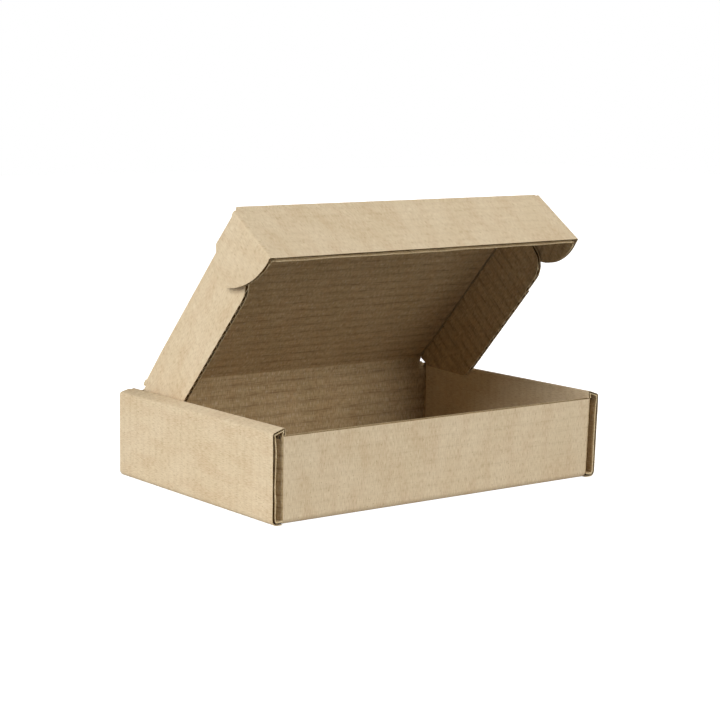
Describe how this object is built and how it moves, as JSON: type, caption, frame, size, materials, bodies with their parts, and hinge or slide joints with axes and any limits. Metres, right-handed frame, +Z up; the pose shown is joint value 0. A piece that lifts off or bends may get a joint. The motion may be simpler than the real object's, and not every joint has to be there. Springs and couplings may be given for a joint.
{
  "type": "corrugated mailer box",
  "caption": "Folded kraft corrugated mailer box with roll-over side walls, a hinged lid with dust flaps, and a front tuck flap with ears.",
  "frame": {"origin": "on the underside of the tray, at the middle of its width and depth", "axes": "+X to the right along the front wall, +Y from the front wall to the rear wall, +Z up"},
  "size_m": [0.23, 0.153, 0.1606],
  "materials": {
    "kraft_outside": "matte uncoated kraft liner",
    "kraft_inside": "matte uncoated kraft liner with a washboard of flutes"
  },
  "bodies": {
    "tray": {"tray": "kraft_outside"},
    "lid": {"lid": "kraft_inside"},
    "tuck_flap": {"tuck_flap": "kraft_outside"},
    "left_ear": {"left_ear": "kraft_outside"},
    "right_ear": {"right_ear": "kraft_outside"},
    "left_dust_flap": {"left_dust_flap": "kraft_inside"},
    "right_dust_flap": {"right_dust_flap": "kraft_inside"}
  },
  "joints": [
    {"name": "lid_hinge", "type": "hinge", "parent": "tray", "child": "lid", "pos_m": [0, 0.0742, 0.0527], "axis": [-1, 0, 0], "range_deg": [-46.85, 130]},
    {"name": "tuck_fold", "type": "hinge", "parent": "lid", "child": "tuck_flap", "pos_m": [0, -0.02572, 0.15929], "axis": [-1, 0, 0], "range_deg": [-27.2, 75.5]},
    {"name": "left_ear_fold", "type": "hinge", "parent": "tuck_flap", "child": "left_ear", "pos_m": [-0.1054, -0.04246, 0.14835], "axis": [0, 0.8372, 0.5468], "range_deg": [0, 90]},
    {"name": "right_ear_fold", "type": "hinge", "parent": "tuck_flap", "child": "right_ear", "pos_m": [0.1054, -0.04246, 0.14835], "axis": [0, -0.8372, -0.5468], "range_deg": [0, 90]},
    {"name": "left_dust_fold", "type": "hinge", "parent": "lid", "child": "left_dust_flap", "pos_m": [-0.0999, 0.02196, 0.10653], "axis": [0, -0.6839, 0.7296], "range_deg": [0, 85]},
    {"name": "right_dust_fold", "type": "hinge", "parent": "lid", "child": "right_dust_flap", "pos_m": [0.0999, 0.02196, 0.10653], "axis": [0, 0.6839, -0.7296], "range_deg": [0, 85]}
  ],
  "couplings": [
    {"joint": "tuck_fold", "follows": "lid_hinge", "ratio": 0.58}
  ]
}
